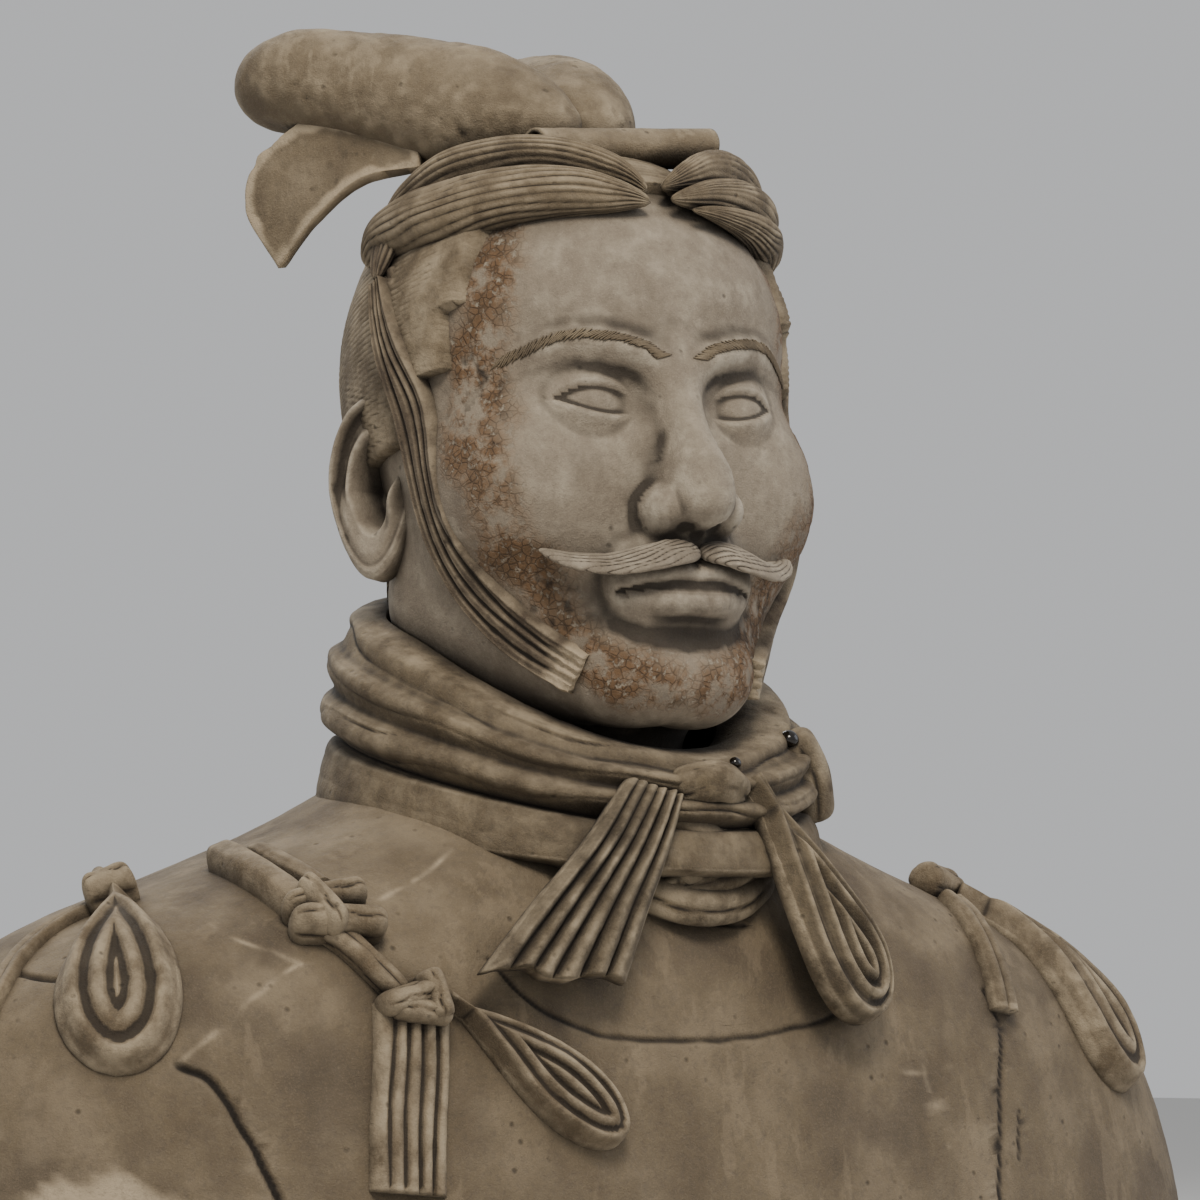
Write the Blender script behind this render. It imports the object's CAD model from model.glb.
import math

import bmesh
import bpy
import numpy as np
from mathutils import Matrix, Vector
from mathutils.bvhtree import BVHTree


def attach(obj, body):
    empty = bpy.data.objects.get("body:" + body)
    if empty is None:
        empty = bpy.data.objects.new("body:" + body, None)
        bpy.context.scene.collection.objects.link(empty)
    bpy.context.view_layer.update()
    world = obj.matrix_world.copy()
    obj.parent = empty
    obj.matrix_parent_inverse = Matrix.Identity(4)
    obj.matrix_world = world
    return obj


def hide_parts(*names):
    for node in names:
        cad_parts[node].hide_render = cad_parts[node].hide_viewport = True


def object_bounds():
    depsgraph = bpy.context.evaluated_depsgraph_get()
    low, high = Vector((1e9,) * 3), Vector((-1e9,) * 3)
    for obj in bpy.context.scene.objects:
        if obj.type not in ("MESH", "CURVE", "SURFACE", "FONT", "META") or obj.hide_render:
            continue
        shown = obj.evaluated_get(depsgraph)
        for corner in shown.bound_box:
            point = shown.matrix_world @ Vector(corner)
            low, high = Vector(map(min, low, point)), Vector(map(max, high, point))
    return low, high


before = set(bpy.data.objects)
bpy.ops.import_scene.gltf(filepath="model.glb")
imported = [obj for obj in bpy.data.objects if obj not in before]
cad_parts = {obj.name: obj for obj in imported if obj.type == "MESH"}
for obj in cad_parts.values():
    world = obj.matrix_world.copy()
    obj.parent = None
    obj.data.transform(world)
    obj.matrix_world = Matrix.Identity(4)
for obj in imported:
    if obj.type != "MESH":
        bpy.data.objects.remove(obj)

cadLow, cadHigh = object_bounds()

# Terracotta warrior bust. Clay is drawn in millimetres from the chin, in the sizes of `drawn`, and the
# sizes of `figure`, in metres, bring it to the real one.
drawn = {"headHeight": 238, "shoulderWidth": 620, "chestDepth": 290, "chinHeight": 262}
figure = {
    "headHeight": 0.238,      # chin to crown
    "shoulderWidth": 0.620,
    "chestDepth": 0.290,
    "chinHeight": 0.262,      # chin above the flat cut
    "headPitch": 6,           # degrees, chin raised
    "headYaw": -7,            # degrees, towards the figure's right
    "headForward": 0.004,
}
millimetres = 1000            # in a metre


def headPlace():
    size = figure["headHeight"] / drawn["headHeight"]
    turn = Matrix.Rotation(math.radians(figure["headYaw"]), 4, "Z")
    nod = Matrix.Rotation(math.radians(-figure["headPitch"]), 4, "X")
    lift = Matrix.Translation((0, -figure["headForward"], figure["chinHeight"]))
    return np.array(lift @ turn @ nod @ Matrix.Scale(size, 4))


def torsoPlace():
    sizes = [figure[size] / drawn[size] for size in ("shoulderWidth", "chestDepth", "chinHeight")]
    return np.array(Matrix.Translation((0, 0, figure["chinHeight"])) @ Matrix.Diagonal((*sizes, 1)))


def moved(points, place):
    return points @ place[:3, :3].T + place[:3, 3]


headFrame, torsoFrame = headPlace(), torsoPlace()
headBack, torsoBack = np.linalg.inv(headFrame), np.linalg.inv(torsoFrame)
clays = {   # where each part's clay is drawn, and its slot; the neck's plug belongs to the head
    "head": (headFrame, "head_clay"), "torso": (torsoFrame, "torso_clay"), "neck": (torsoFrame, "head_clay"),
}


# Clay as distances, in millimetres: negative inside
def smoothMin(a, b, k):
    h = np.clip(0.5 + 0.5 * (b - a) / k, 0.0, 1.0)
    return b + (a - b) * h - k * h * (1.0 - h)


def smoothCut(a, b, k):
    return -smoothMin(-a, b, k)


def egg(p, centre, radii):
    q = (p - np.array(centre)) / np.array(radii)
    near = np.linalg.norm(q, axis=1)
    steep = np.linalg.norm(q / np.array(radii), axis=1)
    return near * (near - 1.0) / np.maximum(steep, 1e-9)


def limb(p, a, b, radiusA, radiusB):
    a, b = np.array(a, float), np.array(b, float)
    along = np.clip((p - a) @ (b - a) / np.dot(b - a, b - a), 0.0, 1.0)
    axis = a + along[:, None] * (b - a)
    return np.linalg.norm(p - axis, axis=1) - (radiusA + (radiusB - radiusA) * along)


def chain(p, points, radii):
    links = [limb(p, points[i], points[i + 1], radii[i], radii[i + 1]) for i in range(len(points) - 1)]
    return np.min(links, axis=0)


def step(low, high, value):
    t = np.clip((value - low) / (high - low), 0.0, 1.0)
    return t * t * (3.0 - 2.0 * t)


def curve(points, count):
    # a smooth curve through the points (Catmull-Rom)
    ends = np.array(points, float)
    ends = np.vstack((2 * ends[0] - ends[1], ends, 2 * ends[-1] - ends[-2]))
    place = np.linspace(0, len(points) - 1, count)
    leg = np.minimum(place.astype(int), len(points) - 2)
    t = (place - leg)[:, None]
    a, b, c, d = (ends[leg + i] for i in range(4))
    return 0.5 * (2 * b + (c - a) * t + (2 * a - 5 * b + 4 * c - d) * t**2 + (3 * b - a - 3 * c + d) * t**3)


def roll(p, points, radii, count=9):
    line = curve(np.column_stack((points, radii)), count)
    return chain(p, line[:, :3], line[:, 3])


def unit(v):
    v = np.asarray(v, float)
    return v / np.maximum(np.linalg.norm(v, axis=-1, keepdims=True), 1e-9)


primes = {
    "cell": (73856093, 19349663, 83492791), "seed": 2654435761,
    "mix": ((15, 2246822519), (13, 3266489917)),      # bits shifted, and the prime after that
}
wordSize = 2**32


def cloud(p, size, seed):
    # smooth random values from -1 to 1, one blob to each size; primes scramble each corner's number
    q = p / size + 100.0
    base = np.floor(q).astype(np.int64)
    f = q - base
    f = f * f * (3 - 2 * f)
    total = np.zeros(len(p))
    for corner in np.ndindex(2, 2, 2):
        mixed = (((base + corner) * primes["cell"]).sum(1) ^ (seed * primes["seed"])) & (wordSize - 1)
        for shift, prime in primes["mix"]:
            mixed = ((mixed ^ (mixed >> shift)) * prime) & (wordSize - 1)
        total += np.prod(np.where(corner, f, 1 - f), axis=1) * (mixed / (wordSize / 2) - 1.0)
    return total


def fullTurn(count):
    return np.arange(count) * 2 * math.pi / count


def hump(value, place, width, height):
    # a smooth rise across a place
    return height * np.exp(-((value - place) / width) ** 2)


def folded(p):
    # both sides of the middle plane laid on one
    return np.column_stack((np.abs(p[:, 0]), p[:, 1], p[:, 2]))


def strands(place):
    # rounded ridges with sharp valleys between them, one to each unit, 0 in the valley and 1 on top
    return np.abs(np.sin(math.pi * place)) ** 0.7


# Head
headCore = {"rows": 210, "columns": 300, "crowd": 0.58, "centre": (0, 0, 95)}
hairCap = {
    "rows": 330, "columns": 150, "crowd": -0.15, "centre": (0, 40, 130), "thickness": 4.5,
    "spacing": 2.5, "depth": 0.95, "slope": 0.22,     # of the combed strands
    "wander": [(1.3, 26, 11), (0.5, 9, 12)],          # how far they stray, over what size, and a seed
    "front": -58, "fullAbove": 203, "nape": 8,
    "steps": [(160, 157, 8), (136, 132, 24), (112, 104, 60)],   # from and to these heights, set back by
}
smoothHead = {"rows": 110, "columns": 160, "crowd": 0.4, "centre": (0, 0, 95)}


def bareHead(p):
    q = folded(p)
    d = egg(q, (0, -8, 142), (81, 82, 90))
    d = smoothMin(d, egg(q, (0, -26, 92), (79, 66, 92)), 18)
    d = smoothMin(d, limb(q, (50, 2, 52), (20, -66, 18), 22, 19), 24)
    d = smoothMin(d, egg(q, (0, -74, 14), (26, 18, 16)), 14)
    d = smoothMin(d, egg(q, (48, -52, 90), (30, 30, 30)), 20)
    d = smoothMin(d, egg(q, (0, -44, 160), (70, 46, 48)), 20)
    d = smoothMin(d, limb(q, (0, 14, 60), (0, 18, -46), 55, 49), 16)
    return d


def calmFace(p):
    q = folded(p)
    d = bareHead(p)
    brow = [(5, -91, 131), (20, -92.5, 138), (42, -82, 141.5), (60, -64, 134)]
    bridge = [(0, -87, 136), (0, -92, 122), (0, -101, 101), (0, -106, 88)]
    mouth = [(0, -103, 46), (14, -100, 46.4), (28, -88, 45)]
    upperLip = [(0, -97.5, 50.5), (7, -98, 52), (17, -93, 49.5), (28, -84, 46)]
    lowerLip = [(0, -96, 40.5), (12, -94, 41), (26, -84, 44.5)]
    d = smoothCut(d, egg(q, (31, -100, 118), (22, 13, 12)), 10)
    d = smoothMin(d, roll(q, brow, [3.6, 4, 3.4, 2]), 7)
    d = smoothMin(d, roll(q, bridge, [6, 6.5, 8, 10]), 12)
    d = smoothMin(d, egg(q, (0, -92, 82), (14, 20, 16)), 11)
    d = smoothMin(d, egg(q, (0, -107, 78), (11, 12, 10.5)), 6)
    d = smoothMin(d, egg(q, (13.5, -97, 75.5), (7.5, 11, 8.5)), 4)
    d = smoothCut(d, egg(q, (6.5, -105, 66), (3.6, 5.5, 3.4)), 2)
    d = smoothMin(d, egg(q, (0, -86, 50), (31, 13, 20)), 10)
    d = smoothCut(d, limb(q, (0, -102, 64), (0, -101, 55), 2.2, 2.6), 3)
    d = smoothMin(d, roll(q, upperLip, [3.4, 3.9, 3.2, 1.6]), 3)
    d = smoothMin(d, roll(q, lowerLip, [5.4, 4.9, 1.8]), 3)
    d = smoothCut(d, roll(q, mouth, [1.7, 1.6, 1.0]), 2.5)
    d = smoothCut(d, egg(q, (0, -100, 28), (19, 8, 5)), 7)
    return eyes(q, d)


def eyes(q, d):
    centre = np.array((31.0, -69.0, 117.5))
    ball = np.linalg.norm(q - centre, axis=1)
    across = (q[:, 0] - centre[0]) / 18.0
    height = q[:, 2] - centre[2] - 1.8 * across
    upper = 7.0 * np.maximum(1.0 - np.abs(across) ** 2.2, 0.0) + 0.6
    lower = -4.8 * np.maximum(1.0 - np.abs(across) ** 2.0, 0.0) + 0.4
    opening = np.minimum(upper - height, height - lower)
    lid = 21.4 - 2.6 * step(-0.9, 1.5, opening)
    return smoothMin(d, ball - lid, 2.0)


def hairForm(p):
    # the rounded form that the combed hair is cut out of
    q = folded(p)
    combed = smoothMin(egg(q, (0, -5, 144), (85, 85, 94)), egg(q, (0, -26, 150), (82, 73, 72)), 10)
    return smoothMin(combed, bareHead(p) - hairCap["thickness"], 6)


def hairMass(p):
    # combed hair, its front edge stepped back down the temple
    down = -p[:, 2]
    edge = hairCap["front"] + sum(back * step(-high, -low, down) for high, low, back in hairCap["steps"])
    reach = np.maximum(p[:, 1] - edge, p[:, 2] - hairCap["fullAbove"])
    return smoothCut(hairForm(p), np.minimum(reach, p[:, 2] - hairCap["nape"]), 2)


def strapForm(p):
    # head and hair with the hair's steps filled, for what is stretched over both
    return smoothMin(bareHead(p), hairMass(p), 14)


def rayRings(field, look, longest=300, halvings=17):
    # rings of a closed form, found along rays from a centre and crowded towards the front
    rows, columns, centre = look["rows"], look["columns"], np.array(look["centre"], float)
    turn = np.linspace(-math.pi, math.pi, columns, endpoint=False)
    turn = turn - look["crowd"] * np.sin(turn)
    rise = np.linspace(math.pi / 2 - 0.01, 0.01 - math.pi / 2, rows)
    rise = rise - 0.2 * np.sin(2 * rise)
    turns, rises = np.meshgrid(turn, rise)
    rays = np.stack((np.sin(turns) * np.cos(rises), -np.cos(turns) * np.cos(rises), np.sin(rises)), -1)
    rays = rays.reshape(-1, 3)
    low, high = np.zeros(len(rays)), np.full(len(rays), float(longest))
    for _ in range(halvings):
        middle = (low + high) / 2
        inside = field(centre + rays * middle[:, None]) < 0
        low = np.where(inside, middle, low)
        high = np.where(inside, high, middle)
    return (centre + rays * ((low + high) / 2)[:, None]).reshape(rows, columns, 3)


def ringNormals(rings):
    # outward directions of rings that run round a middle
    across = np.roll(rings, -1, 1) - np.roll(rings, 1, 1)
    normal = unit(np.cross(across, np.gradient(rings, axis=0)))
    middle = rings.mean(1, keepdims=True)
    flip = np.sign((normal * (rings - middle)).sum())
    return normal * (flip if flip else 1)


def combHair(rings, look):
    # strands that run back round the head, a little uneven
    flat = rings.reshape(-1, 3)
    wander = sum(far * cloud(flat, size, seed) for far, size, seed in look["wander"])
    relief = strands((flat[:, 2] + look["slope"] * flat[:, 1] + wander) / look["spacing"]) - 0.6
    depth = look["depth"] * (0.7 + 0.5 * cloud(flat, 7, 13))
    return rings + ringNormals(rings) * (relief * depth).reshape(*rings.shape[:2], 1)


# Rings swept along paths
combing = {"along": 9, "round": 2, "size": 1.6, "stray": 0.9, "strayPerStrand": 0.04, "clump": 3.4}
fluting = {"along": 2, "across": 1.7, "stray": 0.16, "swell": 0.4, "seeds": (17, 18)}
looping = {"neck": 0.12, "fullness": 2.2, "rim": 0.16, "grain": (14, 5), "stray": 0.12, "seed": 19}


def sweep(path, facing, sections):
    path = np.array(path, float)
    along = unit(np.gradient(path, axis=0))
    side = unit(np.cross(along, facing))
    up = np.cross(side, along)
    sections = np.array(sections, float)
    return path[:, None] + side[:, None] * sections[:, :, :1] + up[:, None] * sections[:, :, 1:]


def ropeSections(count, points, wide, tall, comb=0, depth=0.0, seed=0):
    # oval sections that close to a round tip at both ends, with combed strands along them
    along = np.linspace(0, 1, count)
    stations = np.linspace(0, 1, len(wide))
    turn = fullTurn(points)
    tip = np.sqrt(np.clip(1 - (2 * np.abs(along - 0.5)) ** 8, 0, 1))
    a = curve(np.column_stack((stations, wide)), count)[:, 1] * tip
    b = curve(np.column_stack((stations, tall)), count)[:, 1] * tip
    relief = np.zeros((count, points))
    if comb:
        grid = np.meshgrid(along * combing["along"], turn * combing["round"], [seed], indexing="ij")
        drift = cloud(np.stack(grid, -1).reshape(-1, 3), combing["size"], seed + 3).reshape(count, points)
        stray = min(combing["stray"], combing["strayPerStrand"] * comb)
        place = turn[None] / (2 * math.pi) * comb + stray * drift
        clump = strands(place / combing["clump"] + 0.3)
        relief = (strands(place) * (0.6 + 0.7 * clump) - 0.7) * depth * (0.8 + 0.5 * drift) * tip[:, None]
    x = (a[:, None] + relief) * np.cos(turn)
    y = (b[:, None] + relief) * np.sin(turn)
    return np.stack((x, y), -1)


def bandSections(widths, heights, back):
    across = np.linspace(-1, 1, heights.shape[1])
    x = widths[:, None] / 2 * across
    outer = np.stack((x, heights), -1)
    inner = np.stack((x[:, ::-1], np.repeat(-back[:, None], heights.shape[1], 1)), -1)
    return np.concatenate((outer, inner), 1)


def fluted(count, points, thickness, depth, flutes, seed=0):
    # rounded flutes of uneven width and height that wander a little along the band
    across, along = np.linspace(-1, 1, points), np.linspace(0, 1, count)
    grid = np.meshgrid(along * fluting["along"], across * fluting["across"], [3.0 * seed], indexing="ij")
    grid = np.stack(grid, -1).reshape(-1, 3)
    drift, swell = (cloud(grid, 1, layer).reshape(count, points) for layer in fluting["seeds"])
    wave = 2 * strands(flutes * (across + 1) / 2 + fluting["stray"] * drift) - 1
    edge = np.sqrt(np.clip(1 - np.abs(across) ** 6, 0, 1))
    return (thickness + depth * wave * (0.85 + fluting["swell"] * swell)) * edge


def teardrop(count, points, width, length, thickness, depth, pitch):
    # a ribbon loop: a teardrop with ridges nested inside its outline
    def half(along):
        narrow = width * looping["neck"] * (1 - along)
        full = width / 2 * np.sqrt(np.maximum(np.sin(math.pi * along ** looping["fullness"]), 0))
        return np.maximum(full, narrow) + 0.1

    along, fine = np.linspace(0, 1, count), 1 - np.linspace(1, 0, 300) ** 2
    x = half(along)[:, None] * np.abs(np.linspace(-1, 1, points))
    rise = (along[:, None, None] - fine) * length
    inset = np.sqrt((x[..., None] - half(fine)) ** 2 + rise**2).min(-1)
    crown = thickness * np.clip(inset / (looping["rim"] * width), 0, 1) ** 0.6
    sideways, lengthways = looping["grain"]
    run = np.repeat(along * lengthways, points)
    spots = np.column_stack((x.ravel() / sideways, run, np.full(x.size, width)))
    drift = looping["stray"] * cloud(spots, 1, looping["seed"]).reshape(count, points)
    ridge = depth * np.cos(2 * math.pi * (inset / pitch + drift))
    return 2 * half(along), crown - ridge * np.clip(inset / 3, 0, 1)


def skin(rings, ends="fan"):
    # points and faces of rings: ends closed by a fan, by a strip, or joined to each other as a hoop
    rows, columns = rings.shape[:2]
    index = np.arange(rows * columns).reshape(rows, columns)
    here, below = (index, np.roll(index, -1, 0)) if ends == "hoop" else (index[:-1], index[1:])
    faces = np.stack((here, np.roll(here, -1, 1), np.roll(below, -1, 1), below), -1).reshape(-1, 4).tolist()
    points = rings.reshape(-1, 3)
    for end in (0, rows - 1):
        row = index[end]
        if ends == "strip":
            for j in range(columns // 2 - 1):
                faces.append([row[j], row[j + 1], row[columns - 2 - j], row[columns - 1 - j]])
        elif ends == "fan":
            faces += [[row[j], row[(j + 1) % columns], len(points)] for j in range(columns)]
            points = np.vstack((points, rings[end].mean(0)))
    return points, faces


def surfaceOf(rings):
    points, faces = skin(rings)
    return BVHTree.FromPolygons(points.tolist(), faces)


def lay(surface, points, count, lift=0.0, centre=(0, 0, -60), passes=12):
    # a smooth path laid on a surface, and the directions that face away from it
    path, facing = [], []
    for point in curve(points, count):
        place, normal, _, _ = surface.find_nearest(Vector(point))
        if normal.dot(place - Vector(centre)) < 0:
            normal.negate()
        path.append(place)
        facing.append(normal)
    path, facing = np.array(path), np.array(facing)
    for _ in range(passes):
        facing[1:-1] = (facing[:-2] + facing[1:-1] * 2 + facing[2:]) / 4
        path[1:-1] = (path[:-2] + path[1:-1] * 2 + path[2:]) / 4
    facing = unit(facing)
    return path + facing * lift, facing


# Wear of hand-smoothed clay: sizes of its unevenness in millimetres, with the share of each
wearing = {"broad": (43, 0.7), "medium": (17, 0.3), "fine": 4.5, "pits": 5.5, "fewPits": 0.6, "pitDepth": 4,
           "passes": 4, "ridge": 0.12, "ridgeByFineness": 0.16, "weld": 2e-5}


def makePiece(name, parts, part, look, wear, node=None, marks=None, refine=None):
    # one finished mesh in its place; wear is the depth of broad and fine unevenness, and a seed
    place, slot = clays[part]
    points, faces, start = [], [], 0
    for partPoints, partFaces in parts:
        points.append(partPoints)
        faces += [[i + start for i in face] for face in partFaces]
        start += len(partPoints)
    mesh = bpy.data.meshes.new(name)
    mesh.from_pydata(moved(np.vstack(points), place).tolist(), [], faces)
    shape = bmesh.new()
    shape.from_mesh(mesh)
    bmesh.ops.remove_doubles(shape, verts=shape.verts, dist=wearing["weld"])
    if refine:
        refine(shape)
    bmesh.ops.recalc_face_normals(shape, faces=shape.faces)
    shape.to_mesh(mesh)
    shape.free()
    mesh.shade_smooth()
    weather(mesh, place, wear, marks or {})
    mesh.materials.append(materials[look])
    addPiece(name, mesh, slot, node)


def addPiece(name, mesh, slot, node=None):
    piece = bpy.data.objects.new(name, mesh)
    bpy.context.scene.collection.objects.link(piece)
    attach(piece, "root")
    if node:
        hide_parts(node)
    print("made", name, len(mesh.polygons), "faces")


def setValues(mesh, label, values):
    layer = mesh.attributes.new(label, "FLOAT", "POINT")
    layer.data.foreach_set("value", values.astype(np.float32))


def weather(mesh, place, wear, marks):
    # uneven clay with pits and marks, kept within the part's outer size, and a ridge value on each
    # point, above 0 on what stands proud and below it in what lies back
    count = len(mesh.vertices)
    places, normals = np.empty(count * 3), np.empty(count * 3)
    mesh.vertices.foreach_get("co", places)
    mesh.vertex_normals.foreach_get("vector", normals)
    places, normals = places.reshape(-1, 3), normals.reshape(-1, 3)
    broad, fine, seed = wear
    spots = places * millimetres
    (wide, wideShare), (close, closeShare) = wearing["broad"], wearing["medium"]
    turned = spots[:, ::-1] + 0.4 * spots
    push = broad * (wideShare * cloud(spots, wide, seed) + closeShare * cloud(turned, close, seed + 3))
    push += fine * cloud(spots, wearing["fine"], seed + 1)
    pits = np.clip(cloud(spots, wearing["pits"], seed + 2) - wearing["fewPits"], 0, 1)
    push -= wearing["pitDepth"] * fine * pits
    for label, mark in marks.items():
        depth, shade = mark(moved(places, np.linalg.inv(place)))
        push -= depth
        setValues(mesh, label, shade)
    places = np.clip(places + normals * push[:, None] / millimetres, cadLow, cadHigh)
    mesh.vertices.foreach_set("co", places.ravel())
    mesh.update()
    mesh.vertex_normals.foreach_get("vector", normals.ravel())
    edges = np.empty(len(mesh.edges) * 2, np.int32)
    mesh.edges.foreach_get("vertices", edges)
    a, b = edges.reshape(-1, 2).T
    links = np.maximum(np.bincount(a, minlength=count) + np.bincount(b, minlength=count), 1)[:, None]
    near = places.copy()
    for _ in range(wearing["passes"]):
        total = [np.bincount(a, near[b, i], count) + np.bincount(b, near[a, i], count) for i in range(3)]
        near = np.stack(total, 1) / links
    ridge = ((places - near) * normals).sum(1) * millimetres
    fineness = np.linalg.norm(places[a] - places[b], axis=1).mean() * millimetres
    most = wearing["ridge"] + wearing["ridgeByFineness"] * fineness
    setValues(mesh, "ridge", np.clip(ridge / most, -1, 1))


# Materials
def linear(code):
    shares = [int(code[i:i + 2], 16) / 255 for i in (1, 3, 5)]
    return (*[c / 12.92 if c <= 0.04045 else ((c + 0.055) / 1.055) ** 2.4 for c in shares], 1)


def addNode(tree, kind, inputs=None, out=0, **settings):
    # one node; sockets among its inputs are linked, other values are set on them
    node = tree.nodes.new(kind)
    for key, value in settings.items():
        setattr(node, key, value)
    for key, value in (inputs or {}).items():
        if isinstance(value, bpy.types.NodeSocket):
            tree.links.new(value, node.inputs[key])
        else:
            node.inputs[key].default_value = value
    return node.outputs[out] if len(node.outputs) else node


# Unglazed low-fired clay, coil built and smoothed by hand: matt, grainy, mottled by burial, with pale
# loess dust on what stands proud and dark earth in what lies back. Sizes of the patterns in millimetres.
clayBase = {
    "body": "#74664f", "shade": "#50463a", "light": "#8f8069", "dust": "#a89a82", "hollow": "#231d17",
    "stain": "#463c31", "crack": "#1a1511", "broken": "#ab9c84", "lacquer": "#7c6045", "rust": "#5e4933",
    "broad": 70, "medium": 16, "fine": 2.6, "grain": 0.7, "pit": 7, "streak": 24, "flake": 3.4,
    "dusting": 0.6, "staining": 0.45, "patches": 0.3, "occlusion": 0.85, "roughness": 0.9, "bump": 0.8,
}
clayLooks = {
    "firedClayTorso": {"medium": 36, "dusting": 0.45},
    "firedClayFace": {"body": "#8f8474", "shade": "#6d6356", "light": "#aba18f", "dust": "#bdb3a1",
                      "stain": "#5d5347", "staining": 0.5, "patches": 0.12, "occlusion": 0.75,
                      "bump": 0.65, "medium": 12},
    "combedClayHair": {"body": "#756751", "shade": "#51473a", "light": "#93846b", "dusting": 0.75},
    "firedClayCap": {"body": "#7e705a", "shade": "#5c5141", "light": "#9c8f78", "dusting": 0.7, "medium": 20,
                     "patches": 0.5},
    "foldedClayScarf": {"body": "#655844", "shade": "#443b2f", "light": "#85775e", "dusting": 0.7},
    "hangingClayEnds": {"body": "#5e523f", "shade": "#3f372b", "light": "#7f7159", "dusting": 0.75},
    "tiedClayRibbons": {"body": "#74654f", "shade": "#4f4537", "light": "#968770", "dusting": 0.8},
    "darkClayStrings": {"body": "#5d5041", "shade": "#3f362c", "light": "#7b6d59", "dusting": 0.6},
}
clayLayers = (   # where each colour goes on, one over the other
    ("shade", "shade"), ("light", "light"), ("brown", "shade"), ("bare", "light"), ("speck", "shade"),
    ("sand", "light"), ("stain", "stain"), ("dusty", "dust"), ("flakes", "flake"), ("split", "hollow"),
    ("worn", "hollow"), ("deep", "hollow"), ("edge", "broken"), ("cut", "crack"), ("pit", "hollow"),
)
clayReliefs = (("fine", 0.7), ("pit", -0.9), ("flakes", 0.7), ("split", -0.9))


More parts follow.
